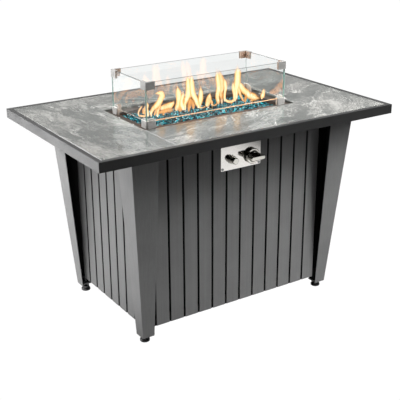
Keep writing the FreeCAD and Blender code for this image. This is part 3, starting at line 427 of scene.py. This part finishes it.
def fire_glass():
    rng = np.random.default_rng(41)
    shapes = chip_shapes(rng, 40)
    verts, faces, cols = [], [], []
    # the fill under the loose chips: a closed lump with an uneven top
    nx, ny = 84, 34
    lo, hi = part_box("fire_glass_bed")
    bottom = lo.z + 0.0004
    for j in range(ny + 1):
        for i in range(nx + 1):
            x, y = -BED_X + 2 * BED_X * i / nx, -BED_Y + 2 * BED_Y * j / ny
            z = bed_height(x, y) - 0.003 - 0.001 * rng.random()
            if POCKET[0] - 0.004 < x < POCKET[1] + 0.004 and POCKET[2] - 0.004 < y < POCKET[3] + 0.004:
                z = bottom + 0.004
            verts.append((x, y, z))
    top = len(verts)
    verts += [(-BED_X, -BED_Y, bottom), (BED_X, -BED_Y, bottom), (BED_X, BED_Y, bottom), (-BED_X, BED_Y, bottom)]
    idx = lambda i, j: j * (nx + 1) + i
    for j in range(ny):
        for i in range(nx):
            faces.append([idx(i, j), idx(i + 1, j), idx(i + 1, j + 1), idx(i, j + 1)])
    b = [top, top + 1, top + 2, top + 3]
    faces.append([b[0]] + [b[1]] + [idx(i, 0) for i in range(nx, -1, -1)])
    faces.append([b[1]] + [b[2]] + [idx(nx, j) for j in range(ny, -1, -1)])
    faces.append([b[2]] + [b[3]] + [idx(i, ny) for i in range(0, nx + 1)])
    faces.append([b[3]] + [b[0]] + [idx(0, j) for j in range(0, ny + 1)])
    faces.append([b[3], b[2], b[1], b[0]])
    cols += [(0.004, 0.020, 0.030, 1)] * len(faces)
    tones = np.array([(0.001, 0.004, 0.006), (0.002, 0.022, 0.030), (0.003, 0.080, 0.105), (0.008, 0.23, 0.29), (0.05, 0.44, 0.52), (0.45, 0.66, 0.70)])
    pitch, n = 0.0056, 0
    for layer, (lift, keep) in enumerate(((-0.0005, 1.0), (0.0022, 0.55), (0.0045, 0.16))):
        for gy in np.arange(-BED_Y + 0.004, BED_Y - 0.003, pitch):
            for gx in np.arange(-BED_X + 0.004, BED_X - 0.003, pitch):
                if rng.random() > keep:
                    continue
                size = rng.uniform(0.0030, 0.0056) * (1.0 if layer == 0 else 0.92)
                x = float(np.clip(gx + rng.uniform(-0.5, 0.5) * pitch, -BED_X + size, BED_X - size))
                y = float(np.clip(gy + rng.uniform(-0.5, 0.5) * pitch, -BED_Y + size, BED_Y - size))
                if POCKET[0] - size < x < POCKET[1] + size and POCKET[2] - size < y < POCKET[3] + size:
                    continue
                s, f = shapes[rng.integers(len(shapes))]
                q = rng.normal(size=4)
                q /= np.linalg.norm(q)
                a, bq, cq, d = q
                rot = np.array([[1 - 2 * (cq * cq + d * d), 2 * (bq * cq - a * d), 2 * (bq * d + a * cq)],
                                [2 * (bq * cq + a * d), 1 - 2 * (bq * bq + d * d), 2 * (cq * d - a * bq)],
                                [2 * (bq * d - a * cq), 2 * (cq * d + a * bq), 1 - 2 * (bq * bq + cq * cq)]])
                z = min(bed_height(x, y) + lift + rng.uniform(-0.0008, 0.0008), 0.6458 - size)
                p = (s * size) @ rot.T + np.array([x, y, z])
                k = len(verts)
                verts += p.tolist()
                tone = rng.choice(4, p=(0.47, 0.15, 0.14, 0.24))
                for face in f:
                    faces.append([k + i for i in face])
                    u = rng.random()
                    step = 0 if u < 0.42 else (1 if u < 0.72 else (-1 if u < 0.90 else 2))
                    c = tones[int(np.clip(tone + step, 0, 5))] * rng.uniform(0.75, 1.25)
                    cols.append((*np.minimum(c, 1.0), 1.0))
                n += 1
    m, t = material("fire_glass")
    colour = t.add("ShaderNodeAttribute", attribute_name="chip").outputs["Color"]
    p = t.coords()
    inner = t.span(t.noise(p, 380, 3, 0.6, 0.8).outputs[0], 0.3, 0.7, 0.72, 1.3)
    c = t.mix(1.0, colour, t.add("ShaderNodeCombineColor", {0: inner, 1: inner, 2: inner}).outputs[0], "MULTIPLY")
    r = t.span(t.noise(p, 160, 2, 0.5).outputs[0], 0.3, 0.7, 0.04, 0.12)
    t.surface(t.add("ShaderNodeBsdfPrincipled", {"Base Color": c, "Roughness": r, "IOR": 1.52, "Specular IOR Level": 0.45, "Coat Weight": 0.15, "Coat Roughness": 0.04}))
    o = mesh_object("fire_glass_chips", verts, faces, m, "root")
    corner_colours(o.data, "chip", cols)
    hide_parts("fire_glass_bed")
    print("chips", n, "faces", len(faces))


fire_glass()


# ---------------------------------------------------------------- flames
# Each strand: points of its spine in mm (x, y, z), its width there in mm, and how hot it burns.
TONGUES = [
    ([(-221, -4, 656), (-228, -4, 666), (-225, -4, 677), (-218, -4, 685), (-211, -4, 692)], [6.0, 6.0, 6.5, 5.5, 1.5], 0.75),
    ([(-195, 2, 651), (-197, 2, 663), (-199, 2, 676), (-195, 2, 688), (-196, 2, 698)], [11.5, 13.5, 12.0, 8.5, 1.5], 1.0),
    ([(-222, -1, 660), (-211, -1, 656), (-198, -1, 655)], [5.0, 6.5, 6.0], 0.8),
    ([(-205, 5, 660), (-206, 5, 672), (-204, 5, 681)], [8.5, 8.0, 1.5], 0.7),
    ([(-184, 0, 649), (-185, 0, 661), (-178, 0, 673), (-165, 0, 682), (-154, 0, 693), (-148, 0, 703), (-143, 0, 712), (-147, 0, 720), (-158, 0, 722), (-166, 0, 722), (-172, 0, 718)], [8.0, 11.0, 15.5, 19.5, 21.5, 21.5, 22.5, 17.0, 10.5, 6.0, 1.5], 1.0),
    ([(-159, 5, 644), (-158, 5, 656), (-155, 5, 666), (-150, 5, 677), (-146, 5, 689)], [8.0, 9.5, 11.0, 11.5, 2.0], 0.95),
    ([(-176, -5, 653), (-172, -5, 663), (-167, -5, 671), (-161, -5, 677)], [7.0, 8.0, 7.0, 1.5], 0.55),
    ([(-150, 2, 667), (-139, 2, 672), (-126, 2, 673), (-113, 2, 676), (-103, 2, 681), (-97, 2, 691)], [14.0, 21.0, 21.0, 21.0, 16.5, 1.5], 0.8),
    ([(-165, -4, 659), (-148, -4, 661), (-130, -4, 662), (-112, -4, 662), (-99, -4, 667)], [9.0, 13.5, 16.0, 15.5, 4.0], 0.45),
    ([(-114, 6, 664), (-107, 6, 670), (-102, 6, 678), (-99, 6, 684)], [10.0, 12.5, 9.0, 1.5], 0.9),
    ([(-91, 0, 654), (-88, 0, 668), (-84, 0, 682), (-82, 0, 696), (-83, 0, 711), (-85, 0, 724), (-87, 0, 739)], [16.5, 18.5, 18.0, 19.5, 21.5, 16.0, 1.5], 1.0),
    ([(-68, -4, 654), (-72, -4, 669), (-75, -4, 682), (-72, -4, 694), (-68, -4, 705), (-70, -4, 719)], [15.5, 17.5, 16.0, 14.5, 10.5, 1.5], 0.95),
    ([(-74, 6, 647), (-73, 6, 660), (-74, 6, 672), (-74, 6, 683)], [14.5, 18.5, 12.5, 2.0], 0.5),
    ([(-58, 0, 652), (-60, 0, 667), (-56, 0, 682), (-49, 0, 695), (-46, 0, 709), (-46, 0, 726), (-47, 0, 742), (-48, 0, 760), (-50, 0, 781)], [12.5, 16.0, 18.5, 19.5, 20.0, 18.5, 17.5, 14.0, 2.0], 1.0),
    ([(-10, -3, 653), (-14, -3, 667), (-20, -3, 683), (-28, -3, 697), (-32, -3, 712), (-34, -3, 727), (-35, -3, 743), (-35, -3, 760), (-37, -3, 778)], [14.0, 18.0, 20.0, 21.0, 20.0, 19.0, 18.0, 13.0, 2.0], 1.0),
    ([(-42, 5, 640), (-41, 5, 653), (-38, 5, 667), (-35, 5, 681), (-36, 5, 694)], [6.5, 12.0, 19.5, 17.5, 3.0], 0.35),
    ([(-23, 7, 649), (-23, 7, 661), (-27, 7, 673), (-31, 7, 686)], [9.5, 15.0, 14.5, 3.0], 0.4),
    ([(-37, 3, 690), (-37, 3, 706), (-38, 3, 723), (-39, 3, 739), (-40, 3, 751)], [6.5, 10.5, 11.5, 9.0, 2.0], 0.85),
    ([(-67, -7, 674), (-68, -7, 685), (-66, -7, 694)], [6.0, 9.0, 2.0], 0.3),
    ([(-5, 2, 650), (-2, 2, 664), (2, 2, 678), (3, 2, 693), (3, 2, 708), (2, 2, 727)], [12.5, 17.5, 19.0, 18.5, 12.5, 1.5], 1.0),
    ([(-8, -3, 655), (1, -3, 651), (11, -3, 652), (20, -3, 654)], [6.5, 4.5, 4.5, 7.5], 0.7),
    ([(26, 1, 649), (29, 1, 660), (33, 1, 672), (36, 1, 685), (40, 1, 697)], [15.0, 21.0, 21.0, 15.0, 1.5], 1.0),
    ([(43, -4, 657), (41, -4, 667), (38, -4, 674)], [9.5, 8.5, 1.5], 0.6),
    ([(45, 3, 655), (54, 3, 650), (63, 3, 651), (69, 3, 657)], [6.5, 5.0, 6.0, 8.0], 0.8),
    ([(71, 0, 651), (69, 0, 665), (67, 0, 680), (70, 0, 695), (72, 0, 709), (70, 0, 724), (67, 0, 742), (65, 0, 760), (63, 0, 780)], [12.0, 14.5, 16.5, 18.0, 18.5, 18.0, 17.0, 13.0, 2.0], 1.0),
    ([(88, 5, 649), (87, 5, 665), (85, 5, 680), (86, 5, 695), (87, 5, 710), (86, 5, 725), (82, 5, 741), (78, 5, 760), (75, 5, 774)], [11.0, 13.0, 13.0, 18.5, 22.5, 22.5, 20.0, 12.0, 2.0], 0.7),
    ([(94, -4, 658), (92, -4, 674), (93, -4, 688), (96, -4, 703), (95, -4, 716), (93, -4, 728), (87, -4, 740)], [9.5, 10.5, 11.0, 12.0, 13.0, 12.0, 1.5], 1.0),
    ([(82, -7, 672), (81, -7, 686), (81, -7, 697)], [4.5, 7.5, 1.5], 0.3),
    ([(100, 3, 664), (107, 3, 657), (119, 3, 653), (132, 3, 654), (137, 3, 661), (138, 3, 670)], [5.5, 9.5, 12.0, 10.5, 9.0, 6.0], 0.95),
    ([(136, -2, 652), (135, -2, 667), (133, -2, 681), (130, -2, 694), (128, -2, 709), (126, -2, 725)], [10.5, 12.5, 12.5, 13.5, 10.0, 1.5], 1.0),
    ([(146, 2, 655), (145, 2, 672), (143, 2, 688), (145, 2, 702), (147, 2, 717), (148, 2, 733), (149, 2, 749), (149, 2, 764), (148, 2, 780)], [8.0, 10.5, 17.5, 24.0, 27.0, 26.0, 24.0, 17.0, 2.0], 1.0),
    ([(169, -4, 648), (162, -4, 662), (155, -4, 676), (150, -4, 690), (147, -4, 703)], [7.0, 8.5, 11.0, 13.0, 6.5], 0.75),
    ([(156, 4, 714), (164, 4, 698), (177, 4, 682), (191, 4, 670), (205, 4, 661), (219, 4, 653), (234, 4, 648), (248, 4, 647)], [11.0, 20.0, 24.0, 27.0, 28.5, 29.0, 18.5, 10.0], 0.8),
    ([(248, 0, 638), (251, 0, 650), (253, 0, 661), (256, 0, 671), (258, 0, 681)], [6.0, 16.0, 19.0, 12.5, 1.5], 1.0),
    ([(174, -5, 644), (176, -5, 655), (179, -5, 664), (183, -5, 671)], [9.0, 13.5, 11.5, 2.5], 0.35),
    ([(-136, 8, 645), (-134, 8, 652), (-131, 8, 659)], [6.0, 9.0, 1.5], 0.3),
    ([(129, 8, 643), (130, 8, 649), (132, 8, 654)], [6.5, 7.5, 2.0], 0.3),
    ([(196, -7, 645), (203, -7, 647), (210, -7, 648)], [7.0, 10.0, 2.5], 0.3),
]
SHELLS = ((1.0, 1.0, 0.0), (0.88, 0.97, 0.25), (0.74, 0.94, 0.5), (0.58, 0.90, 0.75), (0.38, 0.85, 1.0))


def catmull(pts, t):
    pts = np.asarray(pts, float)
    n = len(pts) - 1
    k = min(int(t * n), n - 1)
    u = t * n - k
    p = [pts[max(0, min(n, k + d))] for d in (-1, 0, 1, 2)]
    return 0.5 * (2 * p[1] + (p[2] - p[0]) * u + (2 * p[0] - 5 * p[1] + 4 * p[2] - p[3]) * u * u + (3 * p[1] - p[0] - 3 * p[2] + p[3]) * u ** 3)


def flames():
    verts, faces, data = [], [], []
    rings_per_mm, around = 0.36, 18
    for ti, (spine, width, heat) in enumerate(TONGUES):
        spine = [(x, y, max(z, 643)) for x, y, z in spine]
        length = sum(math.dist(a, b) for a, b in zip(spine, spine[1:]))
        for scale, cut, level in SHELLS:
            rings = max(10, int(length * rings_per_mm * cut))
            start = len(verts)
            for i in range(rings + 1):
                t = cut * i / rings
                c = catmull(spine, t)
                d = catmull(spine, min(1, t + 0.01)) - catmull(spine, max(0, t - 0.01))
                d /= np.linalg.norm(d)
                w = float(catmull([[x] for x in width], t)[0])
                # each inner shell closes earlier, both at its foot and at its tip
                close = min(1.0, (1 - i / rings) / 0.22) ** 0.75 * min(1.0, (i / rings + 0.02) / 0.10) ** 0.6
                w = max(w, 1.2) * scale * (close if level > 0 else min(1.0, (i / rings + 0.05) / 0.10) ** 0.5)
                side = np.cross(d, (0.0, 1.0, 0.0))
                side /= np.linalg.norm(side) + 1e-9
                front = np.cross(side, d)
                for k in range(around):
                    a = 2 * math.pi * k / around
                    q = c + side * (math.cos(a) * w / 2) + front * (math.sin(a) * w / 2 * 0.62)
                    wob = noise.noise_vector(Vector((q[0] * 0.055 + 7.3 * ti, q[1] * 0.055, q[2] * 0.040 + 3.1))) * min(w * 0.09, 1.9)
                    wob += noise.noise_vector(Vector((q[0] * 0.16, q[1] * 0.16 + 5 * ti, q[2] * 0.10))) * min(w * 0.035, 0.6)
                    q = q + np.array(wob)
                    verts.append((q[0] / 1000, q[1] / 1000, min(q[2], 789.0) / 1000))
                    data.append((t, level, heat))
            for i in range(rings):
                for k in range(around):
                    a, b = start + i * around + k, start + i * around + (k + 1) % around
                    faces.append((a, b, b + around, a + around))
            for ring, turn in ((0, -1), (rings, 1)):
                mid = np.mean(verts[start + ring * around:start + (ring + 1) * around], axis=0)
                verts.append(tuple(mid))
                data.append((cut * ring / rings, level, heat))
                v = len(verts) - 1
                for k in range(around):
                    a, b = start + ring * around + k, start + ring * around + (k + 1) % around
                    faces.append((a, b, v) if turn > 0 else (b, a, v))
    m, t = material("flame")
    at = t.add("ShaderNodeAttribute", attribute_name="burn").outputs["Vector"]
    s = t.add("ShaderNodeSeparateXYZ", {0: at})
    along, level, heat = s.outputs
    z = t.add("ShaderNodeSeparateXYZ", {0: t.coords()}).outputs[2]
    wisp = t.noise(t.coords(scale=(95, 95, 30)), 1.0, 3, 0.55, 1.2).outputs[0]
    fine = t.noise(t.coords(scale=(230, 230, 55)), 1.0, 3, 0.55, 1.0).outputs[0]
    low = t.span(z, 0.652, 0.705, 1.0, 0.0)
    gap = t.span(t.math("ADD", wisp, t.math("MULTIPLY", fine, 0.25)), 0.50, 0.70)
    gap = t.math("SUBTRACT", 1.0, t.math("MULTIPLY", t.math("SUBTRACT", 1.0, gap), t.span(low, 0.0, 1.0, 0.22, 0.75)))
    hot = t.ramp(level, [(0.0, (1.0, 0.42, 0.10)), (0.25, (1.0, 0.50, 0.14)), (0.5, (1.0, 0.61, 0.23)), (0.75, (1.0, 0.76, 0.45)), (1.0, (1.0, 0.90, 0.80))])
    cool = t.mix(level, (0.95, 0.33, 0.06), (1.0, 0.47, 0.12))
    warm = t.math("MULTIPLY", t.span(heat, 0.3, 1.0), t.span(gap, 0.3, 0.9, 0.35, 1.0))
    colour = t.mix(warm, cool, hot)
    power = t.math("MULTIPLY", t.span(level, 0.0, 1.0, 1.18, 2.6, smooth=False), t.span(warm, 0.0, 1.0, 0.62, 1.0))
    # mirror images on the panes close by: the real fire is brighter than the picture can show
    path = t.add("ShaderNodeLightPath")
    mirrored = t.math("MULTIPLY", path.outputs["Is Glossy Ray"], t.math("SUBTRACT", 1.0, path.outputs["Is Transmission Ray"]))
    mirrored = t.math("MULTIPLY", mirrored, t.span(path.outputs["Ray Length"], 0.142, 0.156, 1.0, 0.0))
    power = t.math("MULTIPLY", power, t.math("ADD", 1.0, t.math("MULTIPLY", mirrored, 2.2)))
    colour = t.mix(1.0, colour, t.mix(mirrored, (1.0, 1.0, 1.0), (1.0, 0.60, 0.34)), "MULTIPLY")
    colour = t.mix(1.0, colour, t.add("ShaderNodeCombineXYZ", {0: power, 1: power, 2: power}).outputs[0], "MULTIPLY")
    alpha = t.ramp(level, [(0.0, (0.16,) * 3), (0.25, (0.26,) * 3), (0.5, (0.36,) * 3), (0.75, (0.46,) * 3), (1.0, (0.62,) * 3)])
    tip = t.math("MULTIPLY", t.span(along, 0.70, 1.0, 1.0, 0.25), t.span(z, 0.746, 0.764, 1.0, 0.20))
    foot = t.span(along, 0.0, 0.16, 0.20, 1.0)
    a = t.math("MULTIPLY", t.math("MULTIPLY", alpha, gap), t.span(heat, 0.3, 1.0, 0.60, 1.10))
    a = t.math("MULTIPLY", a, t.math("MULTIPLY", tip, foot), clamp=True)
    glow = t.add("ShaderNodeEmission", {"Color": colour, "Strength": 1.0})
    t.surface(t.add("ShaderNodeMixShader", {0: a, 1: t.add("ShaderNodeBsdfTransparent"), 2: glow}))
    m.cycles.emission_sampling = "AUTO"
    o = mesh_object("flames", verts, faces, m, "root", smooth=True)
    a = o.data.attributes.new("burn", "FLOAT_VECTOR", "POINT")
    a.data.foreach_set("vector", np.array(data, np.float32).ravel())
    o.visible_shadow = False
    print("flame faces", len(faces))


# ---------------------------------------------------------------- floor and light
FRONT_FLOOR = 0.30     # share of the floor's light that matt surfaces get from in front
PANE_WHITE = 0.97      # white behind the panes


def floor():
    bm = bmesh.new()
    bmesh.ops.create_circle(bm, cap_ends=True, segments=128, radius=60)
    me = bpy.data.meshes.new("floor")
    bm.to_mesh(me)
    bm.free()
    o = bpy.data.objects.new("floor", me)
    scene.collection.objects.link(o)
    m, t = material("floor")
    p = t.coords()
    v = t.span(t.noise(p, 1.3, 3, 0.5).outputs[0], 0.3, 0.7, 0.885, 0.905)
    # what the object mirrors of the floor: dimmer in front, as with black cards beside the lens
    path = t.add("ShaderNodeLightPath")
    split = t.add("ShaderNodeSeparateXYZ", {0: p})
    beside = t.math("MAXIMUM", t.math("SUBTRACT", -0.30, split.outputs[0]), 0.0)
    dim = t.span(t.math("ADD", split.outputs[1], beside), -0.30, 0.25, 0.20, 1.0)
    dim = t.math("MULTIPLY", dim, t.span(split.outputs[0], 1.0, 1.45, 1.0, 0.45))
    v = t.math("MULTIPLY", v, t.math("MAXIMUM", dim, t.math("MULTIPLY", path.outputs["Is Diffuse Ray"], FRONT_FLOOR)))
    c = t.add("ShaderNodeCombineColor", {0: v, 1: v, 2: v}).outputs[0]
    # and a white card where the steel control plate mirrors the floor
    fx = t.span(t.math("ABSOLUTE", t.math("SUBTRACT", split.outputs[0], 0.80)), 0.22, 0.42, 1.0, 0.0)
    fy = t.span(t.math("ABSOLUTE", t.math("SUBTRACT", split.outputs[1], -1.48)), 0.26, 0.50, 1.0, 0.0)
    card = t.math("MULTIPLY", t.math("MULTIPLY", fx, fy), path.outputs["Is Glossy Ray"])
    lift = t.add("ShaderNodeEmission", {"Color": (1, 1, 1), "Strength": t.math("MULTIPLY", card, 0.75)})
    matt = t.add("ShaderNodeBsdfDiffuse", {"Color": c, "Roughness": 0.3})
    lit = t.add("ShaderNodeAddShader", {0: matt, 1: lift})
    # the sweep behind and below the table is lit to plain white, a little less through the panes
    seen = t.math("MAXIMUM", path.outputs["Is Camera Ray"], path.outputs["Is Transmission Ray"])
    white = t.math("MULTIPLY", t.span(t.noise(p, 2.0, 3, 0.5).outputs[0], 0.3, 0.7, 1.01, 1.03),
                   t.math("SUBTRACT", 1.0, t.math("MULTIPLY", path.outputs["Is Transmission Ray"], 1.0 - PANE_WHITE)))
    t.surface(t.add("ShaderNodeMixShader", {0: seen, 1: lit, 2: t.add("ShaderNodeEmission", {"Color": (1, 1, 1), "Strength": white})}))
    me.materials.append(m)


def area(name, where, towards, size, radiance, colour=(1, 1, 1)):
    d = bpy.data.lights.new(name, "AREA")
    d.shape, d.size, d.size_y = "RECTANGLE", size[0], size[1]
    d.energy = math.pi * size[0] * size[1] * radiance
    d.color = colour
    o = bpy.data.objects.new(name, d)
    o.location = where
    o.rotation_mode = "QUATERNION"
    o.rotation_quaternion = (Vector(towards) - Vector(where)).to_track_quat("-Z", "Y")
    o.visible_camera = False
    o.visible_transmission = False
    scene.collection.objects.link(o)
    return o


def world():
    w = bpy.data.worlds.new("studio")
    scene.world = w
    t = Tree(w)
    d = t.add("ShaderNodeSeparateXYZ", {0: t.add("ShaderNodeTexCoord").outputs["Generated"]})
    x, y, z = d.outputs
    v = t.span(y, -0.35, 0.75, 0.0, 0.446)
    path = t.add("ShaderNodeLightPath")
    see = t.math("MAXIMUM", path.outputs["Is Camera Ray"], path.outputs["Is Transmission Ray"])
    v = t.math("ADD", t.math("MULTIPLY", v, t.math("SUBTRACT", 1.0, see)), t.math("ADD", path.outputs["Is Camera Ray"], t.math("MULTIPLY", path.outputs["Is Transmission Ray"], PANE_WHITE)))
    bg = t.add("ShaderNodeBackground", {"Color": (1, 1, 1), "Strength": v})
    out = t.add("ShaderNodeOutputWorld")
    t.put(out.inputs["Surface"], bg.outputs[0])


flames()
floor()
world()
area("sparkle", (1.1, -2.3, 1.5), (0, -0.2, 0.5), (0.35, 0.35), 4.0)
area("backdrop_light", (-1.5, 1.5, 2.2), (-1.1, 1.1, 0), (2.4, 2.4), 12.7)
for name, where, towards, size, radiance, spread in (
        ("left_soft", (-2.4, -0.2, 1.2), (-0.3, 0, 0.3), 1.2, 2.83, 180),
        ("key_small", (1.5, -1.6, 1.5), (0.35, -0.23, 0.0), 0.5, 2.88, 50),
        ("key_wide", (1.6, -1.1, 2.2), (0.35, -0.23, 0.0), 1.0, 11.0, 60)):
    o = area(name, where, towards, (size, size), radiance)
    o.data.spread = math.radians(spread)
    o.visible_glossy = False
for i, x in enumerate((-0.14, 0.0, 0.14)):
    d = bpy.data.lights.new(f"glow_{i}", "POINT")
    d.energy, d.color, d.shadow_soft_size = 0.05, (1.0, 0.50, 0.16), 0.03
    o = bpy.data.objects.new(f"glow_{i}", d)
    o.location = (x, 0, 0.70)
    o.visible_camera = o.visible_transmission = o.visible_glossy = False
    scene.collection.objects.link(o)

soften(("top_rail_front", "top_rail_rear", "top_rail_left", "top_rail_right"), 0.0006)
soften(("guard_glass_front", "guard_glass_rear", "guard_glass_left", "guard_glass_right"), 0.0013, segments=1)
soften(("leg_front_left", "leg_front_right", "leg_rear_left", "leg_rear_right"), 0.0009)
soften(("guard_top_clips", "guard_foot_brackets"), 0.0006)

scene.view_settings.view_transform = "Standard"
scene.cycles.transparent_max_bounces = 64
